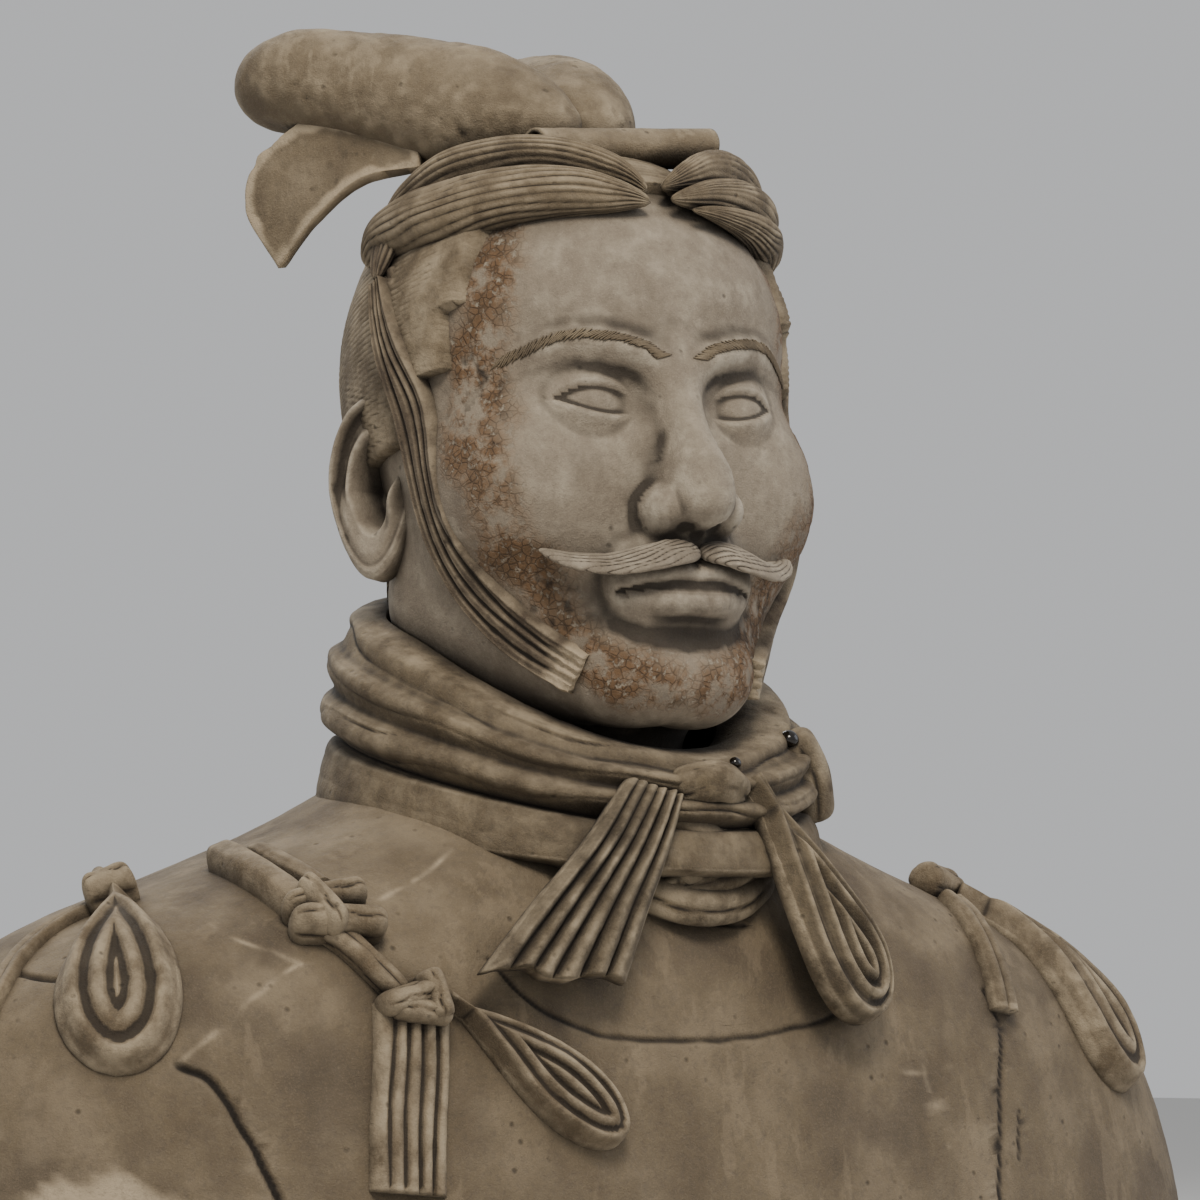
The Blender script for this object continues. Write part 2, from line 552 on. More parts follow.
def clayMaterial(name):
    look = {**clayBase, **clayLooks[name]}
    material = bpy.data.materials.new(name)
    material.use_nodes = True
    tree = material.node_tree
    tree.nodes.clear()
    coords = addNode(tree, "ShaderNodeTexCoord", out="Object")
    tall = addNode(tree, "ShaderNodeMapping", {"Vector": coords, "Scale": (1, 1, 0.28)})
    shape = addNode(tree, "ShaderNodeNewGeometry", out="Normal")
    place = {"Vector": coords, "Scale": millimetres / look["flake"]}
    found = {
        "up": addNode(tree, "ShaderNodeSeparateXYZ", {0: shape}, "Z"),
        "gaps": addNode(tree, "ShaderNodeAmbientOcclusion", {"Distance": 0.016}, "AO", samples=6),
        "seams": addNode(tree, "ShaderNodeTexVoronoi", place, feature="DISTANCE_TO_EDGE"),
        "pits": addNode(tree, "ShaderNodeTexVoronoi", {**place, "Scale": millimetres / look["pit"]}),
    }
    for label, detail in (("broad", 5), ("medium", 7), ("fine", 5), ("grain", 2), ("streak", 5)):
        inputs = {"Vector": tall if label == "streak" else coords, "Scale": millimetres / look[label],
                  "Detail": detail, "Roughness": 0.62}
        found[label] = addNode(tree, "ShaderNodeTexNoise", inputs, "Fac")
    for label in ("ridge", "lacquer", "broken", "crack"):
        found[label] = addNode(tree, "ShaderNodeAttribute", out="Fac", attribute_name=label)
    spans = {   # source, its low and high end, and the share at each end
        "shade": ("broad", 0.38, 0.62, 0.8, 0), "light": ("medium", 0.5, 0.72, 0, 0.55),
        "speck": ("fine", 0.34, 0.5, 0.45, 0), "sand": ("grain", 0.5, 0.75, 0, 0.3),
        "stain": ("streak", 0.5, 0.72, 0, look["staining"]), "settled": ("up", -0.2, 1.0, 0.1, 0.7),
        "proud": ("ridge", 0.05, 0.8, 0, 1), "patchy": ("medium", 0.36, 0.62, 0, look["dusting"]),
        "worn": ("ridge", -0.7, -0.05, 0.85, 0), "deep": ("gaps", 0.25, 0.9, look["occlusion"], 0),
        "crust": ("medium", 0.38, 0.5, 0, 1), "holes": ("fine", 0.36, 0.46, 0, 1),
        "seam": ("seams", 0.02, 0.1, 0.5, 0), "rusty": ("medium", 0.4, 0.6, 0, 1),
        "pale": ("fine", 0.3, 0.5, 0.6, 1), "dent": ("pits", 0.06, 0.2, 0.6, 0),
        "some": ("medium", 0.52, 0.6, 0, 1), "brown": ("broad", 0.5, 0.54, 0, look["patches"]),
        "bare": ("streak", 0.38, 0.42, look["patches"], 0),
        "rough": ("fine", 0.3, 0.7, look["roughness"] - 0.06, look["roughness"] + 0.06),
    }
    for label, (source, *ends) in spans.items():
        inputs = dict(zip(("From Min", "From Max", "To Min", "To Max"), ends))
        found[label] = addNode(tree, "ShaderNodeMapRange", {**inputs, "Value": found[source]})
    products = {   # two terms, multiplied unless a third says otherwise
        "lifted": ("settled", "proud", "MAXIMUM"), "dusty": ("lifted", "patchy"),
        "flaking": ("crust", "holes"), "flakes": ("flaking", "lacquer"), "split": ("flakes", "seam"),
        "edge": ("pale", "broken"), "pit": ("dent", "some"),
    }
    for label, (a, b, *operation) in products.items():
        operation = operation[0] if operation else "MULTIPLY"
        found[label] = addNode(tree, "ShaderNodeMath", {0: found[a], 1: found[b]}, operation=operation)
    found["cut"] = addNode(tree, "ShaderNodeMath", {0: found["crack"], 1: 0.9}, operation="MULTIPLY")
    colours = {label: linear(code) for label, code in look.items() if isinstance(code, str)}
    inputs = {0: found["rusty"], 6: colours["lacquer"], 7: colours["rust"]}
    colours["flake"] = addNode(tree, "ShaderNodeMix", inputs, 2, data_type="RGBA")
    colour = colours["body"]
    for share, over in clayLayers:
        inputs = {0: found[share], 6: colour, 7: colours[over]}
        colour = addNode(tree, "ShaderNodeMix", inputs, 2, data_type="RGBA")
    height = addNode(tree, "ShaderNodeMath", {0: found["grain"], 1: 0.4}, operation="MULTIPLY")
    for share, weight in clayReliefs:
        inputs = {0: found[share], 1: weight, 2: height}
        height = addNode(tree, "ShaderNodeMath", inputs, operation="MULTIPLY_ADD")
    bump = addNode(tree, "ShaderNodeBump", {"Strength": look["bump"], "Distance": 0.0012, "Height": height})
    inputs = {"Base Color": colour, "Roughness": found["rough"], "Normal": bump, "IOR": 1.5, "Metallic": 0.0}
    addNode(tree, "ShaderNodeOutputMaterial", {"Surface": addNode(tree, "ShaderNodeBsdfPrincipled", inputs)})
    return material


def plainMaterial(name, colour, **values):
    material = bpy.data.materials.new(name)
    material.use_nodes = True
    shader = material.node_tree.nodes["Principled BSDF"]
    shader.inputs["Base Color"].default_value = linear(colour)
    for label, value in values.items():
        shader.inputs[label].default_value = value
    return material


materials = {name: clayMaterial(name) for name in clayLooks}
# brown-black tree resin, dried hard: smooth and glossy, so each drop shows one sharp highlight
materials["driedResin"] = plainMaterial("driedResin", "#15110d", Roughness=0.14, IOR=1.54)
print("materials ready")

# The head's core and hair
lacquer = {
    "line": [(60, -66, 198), (66, -64, 175), (70, -60, 140), (70, -60, 105), (62, -66, 65), (48, -76, 35),
             (32, -86, 14), (12, -94, 6)],
    "reach": (6, 21), "stray": 7, "lift": 0.45, "flake": 7,
}


def lacquerMark(p):
    # remains of lacquer in front of the hair, down the temple and cheek and along the jaw
    near = chain(folded(p), lacquer["line"], np.zeros(len(lacquer["line"])))
    shade = 1 - step(*lacquer["reach"], near + lacquer["stray"] * cloud(p, 14, 5))
    crust = step(-0.1, 0.15, cloud(p, lacquer["flake"], 6) + 0.4 * cloud(p, 2.5, 7))
    return -lacquer["lift"] * shade * crust, shade


coreRings = rayRings(calmFace, headCore)
scalp = surfaceOf(coreRings)
makePiece("headCore", [skin(coreRings)], "head", "firedClayFace", (0.2, 0.07, 8), "head",
          {"lacquer": lacquerMark})
hairRings = combHair(rayRings(hairMass, hairCap), hairCap)
makePiece("hairCap", [skin(hairRings)], "head", "combedClayHair", (0.2, 0.06, 7))
crown = surfaceOf(rayRings(hairForm, smoothHead))
temples = surfaceOf(rayRings(strapForm, smoothHead))

# Ears
ear = {
    "centre": (80, 0, 98), "halfHeight": 36.0, "halfWidth": 19.0, "rings": 46, "columns": 100,
    "across": (0.50, 0.86, 0.04), "tall": (0.06, 0.16, 1.0),
    "rim": (0.93, 0.065, 5.5), "fold": (0.6, 0.09, 4.6), "tragus": (0.62, 0.14, 7.0),   # place, width, height
    "hollow": 13.0, "lobe": 5.0, "thickness": 4, "root": 12,
}


def earRings(side):
    columns = ear["columns"]
    turn = fullTurn(columns)
    narrow = 1 - 0.22 * np.clip(-np.sin(turn), 0, 1)
    outlineA = ear["halfWidth"] * np.cos(turn) * narrow
    outlineL = ear["halfHeight"] * np.sin(turn)
    backRim = np.clip(np.cos(turn) + 0.55, 0, 1) * np.clip(np.sin(turn) + 0.75, 0, 1)
    upper = step(-0.5, 0.2, np.sin(turn))
    result = []
    for u in np.linspace(0.02, 1, ear["rings"]):
        rim = hump(u, *ear["rim"]) * (0.35 + 0.65 * backRim)
        fold = hump(u, *ear["fold"]) * upper * np.clip(np.cos(turn) + 0.6, 0, 1)
        hollow = -ear["hollow"] * float(1 - step(0.3, 0.56, u)) + 1.5 * float(step(0.56, 1, u))
        lobe = ear["lobe"] * (1 - upper) * float(1 - step(0.7, 1, u)) * float(step(0.1, 0.5, u))
        tragus = hump(u, *ear["tragus"]) * hump(turn, math.pi * 1.05, 0.4, 1)
        height = 3 + rim + fold + hollow + lobe + tragus
        result.append(np.column_stack((outlineA * u - 2 * (1 - u), outlineL * u, height)))
    for u in np.linspace(1, 0.05, ear["rings"] // 2):
        behind = np.full(columns, -ear["thickness"] - ear["root"] * (1 - u))
        result.append(np.column_stack((outlineA * u, outlineL * u, behind)))
    local = np.array(result)
    across = unit(ear["across"])
    out = unit(np.cross(across, unit(ear["tall"])))
    tall = np.cross(out, across)
    placed = np.array(ear["centre"]) + local[..., :1] * across + local[..., 1:2] * tall + local[..., 2:] * out
    return placed * np.array((side, 1, 1))


makePiece("ears", [skin(earRings(side)) for side in (-1, 1)], "head", "firedClayFace", (0.2, 0.08, 4))

# Hair lobes that part above the forehead: two folds sweep back on the right, three on the left
rightOver = [(2, -73, 194), (12, -68, 205), (29, -58, 214), (47, -43, 221), (60, -28, 222), (70, -12, 218),
             (76, 6, 209)]
rightUnder = [(3, -76, 190), (24, -72, 195), (50, -60, 199), (70, -44, 202), (82, -26, 205), (86, -6, 203),
              (86, 12, 195)]
leftOver = [(2, -73, 194), (26, -68, 208), (54, -54, 219), (76, -36, 217), (86, -16, 211), (88, 8, 202)]
leftMiddle = [(4, -77, 191), (40, -69, 202), (70, -51, 206), (86, -29, 205), (90, -6, 200)]
leftUnder = [(12, -77, 188), (44, -72, 191), (70, -56, 195), (87, -34, 196), (91, -10, 192)]
lobes = {
    "folds": [   # side, path, half widths, half heights and lift from the scalp
        (-1, rightOver, [3, 5.5, 7, 7.5, 8, 8, 7], [5, 9, 12, 13, 13, 10, 7], 1),
        (-1, rightUnder, [4, 8, 11.5, 12.5, 12, 10, 7], [5, 9, 12, 13, 13, 11, 6], 1),
        (1, leftOver, [3, 8, 12, 13, 12, 9], [5, 12, 16, 17, 14, 9], 4),
        (1, leftMiddle, [3, 8, 10, 10, 8], [4, 10, 14, 13, 8], 3),
        (1, leftUnder, [2, 5, 7, 8, 6], [2, 6, 9, 11, 7], 2),
    ],
    "count": 90, "points": 112, "strands": 22, "depth": 0.8,
}


def lobeParts():
    count, points = lobes["count"], lobes["points"]
    for seed, (side, line, wide, tall, lift) in enumerate(lobes["folds"], 4):
        path, facing = lay(crown, np.array(line) * (side, 1, 1), count, lift, (0, -10, 130))
        sections = ropeSections(count, points, wide, tall, lobes["strands"], lobes["depth"], seed)
        yield skin(sweep(path, facing, sections))


makePiece("hairLobes", lobeParts(), "head", "combedClayHair", (0.3, 0.06, 9))

# Cap: crown, two padded tails, scroll and torn flaps
cap = {
    "crownTop": 238, "crownRadii": (62, 58), "crownFall": 46, "creaseDepth": 0.9, "creases": 9,
    "tailRoot": (-46, 240), "nearBearing": 40, "farBearing": 17, "flapBearing": 38,
    "tailLength": 142, "tailRadius": 25, "flapThickness": 6,
    "tailWide": [0.7, 0.9, 1, 1.02, 1, 0.96, 0.8], "tailTall": [0.6, 0.86, 1, 0.98, 0.9, 0.82, 0.66],
    "tailClimb": [(0, -6), (0.2, 6), (0.4, 15), (0.6, 24), (0.8, 31), (1, 30)],   # share along, and height
    "scrollLength": 80, "scrollRadius": 8, "scrollPlace": (8, -48, 229), "scrollLean": 6,
}


def crownRings(rows, columns):
    turn = fullTurn(columns)
    (wide, deep), rings = cap["crownRadii"], []
    for u in np.linspace(0.02, 1, rows):
        crease = cap["creaseDepth"] * np.sin(turn * cap["creases"] + 6 * u) * u * (1 - u) * 4
        height = cap["crownTop"] - cap["crownFall"] * u**2.4 + crease
        rings.append(np.column_stack((wide * u * np.sin(turn), 2 - deep * u * np.cos(turn), height)))
    for drop in np.linspace(2, 30, 14):
        rings.append(rings[rows - 1] * np.array((1 - 0.1 * drop / 30,) * 2 + (1,)) - np.array((0, 0, drop)))
    return np.array(rings)


def tailRings(count, points):
    wide, tall = (np.array(cap[label]) * cap["tailRadius"] for label in ("tailWide", "tailTall"))
    climb = curve(cap["tailClimb"], count)[:, 1]
    root, base = cap["tailRoot"]
    reach = 8 + cap["tailLength"] * np.linspace(0, 1, count)
    for side, bearing, full in ((-1, cap["nearBearing"], 1.0), (1, cap["farBearing"], 1.08)):
        angle = math.radians(bearing)
        path = np.column_stack((side * reach * math.sin(angle), root + reach * math.cos(angle), base + climb))
        sections = ropeSections(count, points, wide * full, tall * full)
        yield sweep(path, np.tile((0.0, 0.1, 1.0), (count, 1)), sections)


def scrollParts(count, points):
    # an open roll: its ends turn in over the rim, with a smaller turn of the sheet inside
    half, radius, (x, y, z) = cap["scrollLength"] / 2, cap["scrollRadius"], cap["scrollPlace"]
    turn = fullTurn(points)
    lap = 1 + 0.16 * (turn / (2 * math.pi)) - 0.08
    outer = np.stack((radius * 1.25 * lap * np.cos(turn), radius * lap * np.sin(turn)), -1)
    inner, shrunk = np.array([13, 4, 0]) - half, [0.55, 0.72, 0.8]
    reach = np.concatenate((inner, np.linspace(-half, half, count), -inner[::-1]))
    share = np.concatenate((shrunk, np.ones(count), shrunk[::-1]))
    rings = []
    for a, s in zip(reach, share):
        lift = z + outer[:, 1] * s + a * cap["scrollLean"] / 2 / half
        rings.append(np.column_stack((np.full(points, x + a), y + outer[:, 0] * s, lift)))
    yield skin(np.array(rings))


def flapRings(rows, columns):
    upper = [(84, 42, 252), (70, 22, 248), (54, 2, 236)]
    high = [(95, 58, 240), (80, 37, 240), (66, 18, 236), (54, 2, 233)]
    low = [(98, 63, 220), (86, 44, 226), (70, 22, 231), (54, 2, 230)]
    lower = [(88, 56, 196), (82, 38, 212), (70, 20, 226), (54, 2, 228)]
    root = np.array((0, cap["tailRoot"][0], 0))
    for side, bearing in ((-1, cap["nearBearing"]), (1, cap["farBearing"])):
        angle = math.radians(side * (cap["flapBearing"] - bearing))
        turn = np.array(Matrix.Rotation(angle, 3, "Z"))
        edges = [root + (np.array(edge) * (side, 1, 1) - root) @ turn.T for edge in (upper, high, low, lower)]
        lines = [curve(edge, columns) for edge in edges]
        grid = np.array([curve([line[j] for line in lines], rows) for j in range(columns)]).transpose(1, 0, 2)
        normal = unit(np.cross(np.gradient(grid, axis=0), np.gradient(grid, axis=1)))
        normal *= np.where((normal * np.array((side, 0.3, 0.3))).sum(-1, keepdims=True) < 0, -1, 1)
        yield np.concatenate((grid, (grid - normal * cap["flapThickness"])[:, ::-1]), 1)


def rimMark(lines, wide=1.6):
    # broken pale edges along the given lines
    def mark(p):
        near = np.min([chain(p, line, np.zeros(len(line))) for line in lines], axis=0)
        shade = 1 - step(wide, wide * 2.6, near + 1.4 * cloud(p, 5, 71))
        return 1.2 * shade * np.clip(cloud(p, 7, 72) + 0.3 * cloud(p, 2.5, 73), 0, 1), shade
    return {"broken": mark}


flapRows, flapColumns = 40, 66
flaps = list(flapRings(flapRows, flapColumns))
flapRims = [rings[::8, j] for rings in flaps for j in (0, flapColumns - 1)]
flapRims += [rings[row, :flapColumns:8] for rings in flaps for row in (0, flapRows - 1)]
makePiece("capCrown", [skin(crownRings(40, 120))], "head", "firedClayCap", (0.5, 0.1, 8))
makePiece("capTails", map(skin, tailRings(110, 100)), "head", "firedClayCap", (1.2, 0.32, 8))
makePiece("capScroll", scrollParts(60, 56), "head", "firedClayCap", (0.3, 0.12, 9))
makePiece("capFlaps", [skin(rings, "strip") for rings in flaps], "head", "firedClayCap", (0.6, 0.16, 8),
          marks=rimMark(flapRims))
print("cap done")

# Cap strings: twisted from the cap to a small knot at each temple, then widening down to the jaw
strings = {
    "upper": [(62, -14, 222), (75, -12, 209), (84, -13, 194), (84, -14, 177)],
    "lower": [(84, -14, 177), (83, -26, 146), (80, -35, 117), (73, -42, 69), (60, -54, 36), (40, -74, 15)],
    "width": 19, "widths": [0.4, 0.85, 1, 1, 1.05, 0.95], "thickness": 4, "count": 150, "points": 45,
    "rim": (0.86, 0.1, 1.1), "creases": (-0.45, -0.05, 0.4), "creaseWidth": 0.09, "creaseDepth": 1.5,
    "twist": [(0, 5.5, 0), (0, 3, 0), (0, -2, 0), (0, -0.5, 0)],   # how far the upper strands stray
    # shift, lean, length and radius
    "knots": [(0, 0.3, 9, 4.5), (4, -0.9, 7, 4), (-4, 1.3, 6, 3.6), (2, 1.9, 6, 3.4)],
}


def cheekString(side):
    # a flat string with raised edges and creases that drift along it
    count, points, width = strings["count"], strings["points"], strings["width"]
    line = np.array(strings["lower"]) * (side, 1, 1)
    path, facing = lay(temples, line, count, lift=-1.5, centre=(0, 0, 120), passes=260)
    share = np.interp(np.linspace(0, 1, count), np.linspace(0, 1, 6), strings["widths"])
    along, across = np.linspace(0, 1, count)[:, None], np.linspace(-1, 1, points)[None]
    drift = np.column_stack((along[:, 0] * 9, np.full(count, 3.0 + side), np.zeros(count)))
    heights = np.repeat(strings["thickness"] + 1.5 - 0.4 * across**2, count, 0)
    heights = heights + hump(np.abs(across), *strings["rim"])
    for seed, place in enumerate(strings["creases"], 31):
        line = place + 0.16 * cloud(drift, 1.5, seed)[:, None]
        heights = heights - hump(across, line, strings["creaseWidth"], strings["creaseDepth"])
    heights = heights * np.sqrt(np.clip(1 - np.abs(across) ** 10, 0, 1))
    return skin(sweep(path, facing, bandSections(share * width, heights, np.full(count, 3.0))), "strip")


def stringParts():
    for side in (-1, 1):
        yield cheekString(side)
        for shift in (-1, 1):
            line = np.array(strings["upper"]) + np.array(strings["twist"]) * shift
            path, facing = lay(temples, line * (side, 1, 1), 70, 2.5, (0, 0, 120))
            sections = ropeSections(70, 44, [7, 6.5, 5, 2.4], [4, 4, 3.6, 2.4], 9, 0.8, 40 + shift)
            yield skin(sweep(path, facing, sections))
        for shift, lean, length, radius in strings["knots"]:
            x, y, z = strings["lower"][0]
            place, normal, _, _ = temples.find_nearest(Vector((x * side, y + shift, z - shift * 0.5)))
            middle = np.array(place) + np.array(normal) * 4
            along = np.array((0, math.cos(lean), math.sin(lean)))
            path = middle + np.linspace(-length, length, 32)[:, None] * along
            sections = ropeSections(32, 28, [radius] * 3, [radius] * 3, 7, 0.5, 50)
            yield skin(sweep(path, np.tile(normal, (32, 1)), sections))


def stringEndMark(p):
    # the strings' lower ends are broken off
    near = np.linalg.norm(folded(p) - strings["lower"][-1], axis=1)
    shade = 1 - step(8, 15, near + 3 * cloud(p, 4, 61))
    return 1.4 * shade * np.abs(cloud(p, 5, 62)), shade


makePiece("capStrings", stringParts(), "head", "darkClayStrings", (0.3, 0.14, 10),
          marks={"broken": stringEndMark})

# Moustache: a wide thin shelf that leans out over the lip, with lifted tips
moustache = {
    "line": [(0, -101, 59), (10, -103, 58.5), (22, -101, 56), (35, -94, 54.5), (47, -85, 57), (56, -77, 62)],
    "wide": [4.5, 6, 6.5, 6, 4.5, 2.2], "tall": [3, 2.8, 2.4, 2, 1.8, 1.4], "length": 62,
    "comb": 2.1, "run": 0.2, "depth": 0.7, "count": 150, "points": 64,
}


def moustacheParts():
    count, points = moustache["count"], moustache["points"]
    sections = ropeSections(count, points, moustache["wide"], moustache["tall"])
    run = np.repeat(np.linspace(0, moustache["length"], count)[:, None], points, 1)
    spots = np.stack((run, sections[..., 0] * 3, sections[..., 1]), -1).reshape(-1, 3)
    drift = cloud(spots, 9, 35).reshape(count, points)
    place = (moustache["run"] * run + sections[..., 0]) / moustache["comb"] + 0.5 * drift
    relief = (strands(place) - 0.5) * moustache["depth"] * (0.8 + 0.5 * drift)
    radius = np.linalg.norm(sections, axis=-1, keepdims=True)
    sections = sections * (1 + relief[..., None] / np.maximum(radius, 1.5))
    for side in (-1, 1):
        path = curve(moustache["line"], count) * np.array((side, 1, 1))
        yield skin(sweep(path, np.tile((0.0, -0.8, 0.6), (count, 1)), sections))


makePiece("moustache", moustacheParts(), "head", "firedClayFace", (0.1, 0.05, 9))


# Small strokes of clay set on a surface: each point carries the way out of the clay and the way along it
stroke = {"segments": 8, "rings": 6}


def strokeTree():
    tree = bpy.data.node_groups.new("claySet", "GeometryNodeTree")
    kinds = {"Geometry": "Geometry", "Length": "Float", "Width": "Float", "Height": "Float", "Turn": "Float",
             "Jitter": "Float", "Seed": "Int", "Material": "Material"}
    for label, kind in kinds.items():
        tree.interface.new_socket(label, in_out="INPUT", socket_type="NodeSocket" + kind)
    tree.interface.new_socket("Geometry", in_out="OUTPUT", socket_type="NodeSocketGeometry")
    given = {label: addNode(tree, "NodeGroupInput", out=label) for label in kinds}
    out = addNode(tree, "GeometryNodeInputNamedAttribute", {"Name": "out"}, data_type="FLOAT_VECTOR")
    along = addNode(tree, "GeometryNodeInputNamedAttribute", {"Name": "along"}, data_type="FLOAT_VECTOR")
    ball = {"Segments": stroke["segments"], "Rings": stroke["rings"], "Radius": 1.0}
    bead = addNode(tree, "GeometryNodeMeshUVSphere", ball)
    facing = addNode(tree, "FunctionNodeAlignRotationToVector", {"Vector": out}, axis="Z")
    inputs = {"Rotation": facing, "Vector": along}
    facing = addNode(tree, "FunctionNodeAlignRotationToVector", inputs, axis="X", pivot_axis="Z")
    least = addNode(tree, "ShaderNodeMath", {0: given["Jitter"], 1: -1.0}, operation="MULTIPLY")
    stray = addNode(tree, "FunctionNodeRandomValue", {2: least, 3: given["Jitter"], "Seed": given["Seed"]}, 1)
    angle = addNode(tree, "ShaderNodeMath", {0: stray, 1: given["Turn"]}, operation="ADD")
    spin = addNode(tree, "FunctionNodeAxisAngleToRotation", {"Axis": (0, 0, 1), "Angle": angle})
    inputs = {"Rotation": facing, "Rotate By": spin}
    facing = addNode(tree, "FunctionNodeRotateRotation", inputs, rotation_space="LOCAL")
    size = addNode(tree, "ShaderNodeCombineXYZ", {0: given["Length"], 1: given["Width"], 2: given["Height"]})
    placed = {"Points": given["Geometry"], "Instance": bead, "Rotation": facing, "Scale": size}
    beads = addNode(tree, "GeometryNodeInstanceOnPoints", placed)
    real = addNode(tree, "GeometryNodeRealizeInstances", {"Geometry": beads})
    smooth = addNode(tree, "GeometryNodeSetShadeSmooth", {"Geometry": real})
    clad = addNode(tree, "GeometryNodeSetMaterial", {"Geometry": smooth, "Material": given["Material"]})
    addNode(tree, "NodeGroupOutput", {"Geometry": clad})
    return tree


claySet = strokeTree()


def setStrokes(name, points, outs, alongs, look):
    # points on the head, and the directions at them, in the drawing's millimetres; settings in metres
    # and radians
    place, slot = clays["head"]
    mesh = bpy.data.meshes.new(name)
    mesh.from_pydata(moved(points, place).tolist(), [], [])
    for label, vectors in (("out", outs), ("along", alongs)):
        values = mesh.attributes.new(label, "FLOAT_VECTOR", "POINT")
        values.data.foreach_set("vector", unit(vectors @ place[:3, :3].T).astype(np.float32).ravel())
    seeds = bpy.data.objects.new(name + "Points", mesh)
    bpy.context.scene.collection.objects.link(seeds)
    modifier = seeds.modifiers.new("claySet", "NODES")
    modifier.node_group = claySet
    sockets = {item.name: item.identifier for item in claySet.interface.items_tree if item.in_out == "INPUT"}
    for label, value in {**look["settings"], "Material": materials["combedClayHair"]}.items():
        modifier[sockets[label]] = value
    evaluated = seeds.evaluated_get(bpy.context.evaluated_depsgraph_get())
    shape = bpy.data.meshes.new_from_object(evaluated)
    bpy.data.objects.remove(seeds)
    addPiece(name, shape, slot)


brows = {
    "line": [(8, -92, 134), (20, -92.5, 139), (42, -82, 142.5), (60, -64, 135)], "count": 74, "lean": 34,
    "settings": {"Length": 0.0040, "Width": 0.00045, "Height": 0.0006, "Turn": 0.0, "Jitter": 0.14,
                 "Seed": 3},
}


def browStrokes():
    points, outs, alongs = [], [], []
    lean = math.radians(brows["lean"])
    for side in (-1, 1):
        path, facing = lay(scalp, np.array(brows["line"]) * (side, 1, 1), brows["count"], 0.2, (0, 0, 120))
        along = unit(np.gradient(path, axis=0))
        rise = unit(np.cross(facing, along)) * -side
        points.append(path)
        outs.append(facing)
        alongs.append(along * math.cos(lean) + rise * math.sin(lean))
    setStrokes("browStrokes", np.vstack(points), np.vstack(outs), np.vstack(alongs), brows)


plait = {
    "line": [(0, 78, 62), (0, 84, 100), (0, 86, 140), (0, 78, 180), (0, 62, 206)], "count": 22, "spread": 5.2,
    "lean": 40,
    "settings": {"Length": 0.0088, "Width": 0.0048, "Height": 0.0042, "Turn": 0.0, "Jitter": 0.06, "Seed": 5},
}


def backPlait():
    # a flat plait up the back of the head: leaves of hair cross from side to side
    path, facing = lay(surfaceOf(hairRings), plait["line"], plait["count"] * 2, 0.6, (0, 0, 120))
    along = unit(np.gradient(path, axis=0))
    across = unit(np.cross(along, facing))
    side = np.where(np.arange(len(path)) % 2, 1.0, -1.0)[:, None]
    lean = math.radians(plait["lean"])
    leaves = along * math.cos(lean) - across * side * math.sin(lean)
    setStrokes("backPlait", path + across * side * plait["spread"], facing, leaves, plait)


browStrokes()
backPlait()
print("head dressed")

# Torso
torso = {
    "sections": [(-20, 92, 74, 84), (-35, 122, 84, 98), (-49, 158, 88, 106),
                 (-69, 213, 97, 114), (-90, 255, 105, 120), (-112, 281, 110, 126), (-150, 300, 117, 132),
                 (-205, 311, 126, 136), (-262, 316, 133, 138)],   # height, half width, front and back depth
    "centre": 15.0, "rows": 130, "columns": 220, "clearance": 1.5,
}
# Path on the clay, half width and depth in millimetres, and how dark it is. Those on the back lie 7 to
# 12 mm off the clay, so they leave no mark.
grooves = {
    "bibArc": ([(-100, -84, -85), (-86, -90, -100), (-56, -94, -113), (-10, -96, -115), (35, -95, -111),
                (79, -90, -100)], 1.2, 1.2, 0.8),
    "armhole": ([(-226, -67, -123), (-215, -73, -130), (-205, -81, -150), (-196, -88, -171)], 1.5, 2.6, 1),
    "slit": ([(-253, 10, -89), (-253, -17, -92), (-246, -30, -93)], 1.4, 1.8, 0.9),
    "farCrack": ([(147, -81, -96), (152, -85, -111), (145, -92, -139), (138, -100, -177)], 1.3, 1.2, 0.75),
    "farCrackB": ([(156, -91, -143), (152, -95, -162)], 1.2, 0.8, 0.5),
    "neckline": ([(-26, -79, -64), (-3, -82, -69), (23, -83, -71)], 1.2, 1.0, 0.6),
    "backArc": ([(-176, 104, -92), (-120, 122, -104), (-60, 130, -112), (0, 133, -115), (60, 130, -112),
                 (120, 122, -104), (176, 104, -92)], 1.2, 1.4, 0.7),
    "backSlitA": ([(-212, 98, -104), (-222, 104, -140), (-226, 108, -190)], 1.3, 1.8, 0.8),
    "backSlitB": ([(212, 98, -104), (222, 104, -140), (226, 108, -190)], 1.3, 1.8, 0.8),
}


def clearOfHead(rings):
    # what would touch the jaw or neck gives way outwards
    flat = moved(rings.reshape(-1, 3), torsoFrame)
    middle = np.array((0, 0.008, 0))
    out = unit((flat - middle) * (1, 1, 0))
    for _ in range(3):
        gap = calmFace(moved(flat, headBack)) - torso["clearance"]
        flat = flat - out * np.minimum(gap, 0)[:, None] / millimetres
    return moved(flat, torsoBack).reshape(rings.shape)


socket = {
    "centre": 12, "floor": -142, "radius": 55, "lip": -9,
    "plugRadius": 52, "plugTop": -8, "plugColumns": 90, "seatGap": 0.3,
}


def turned(profile, columns):
    # rings of a form turned about the neck's axis: radius and height of each
    turn = fullTurn(columns)
    x, y = np.sin(turn), -np.cos(turn)
    rings = [np.column_stack((r * x, socket["centre"] + r * y, np.full(columns, z))) for r, z in profile]
    return np.array(rings)


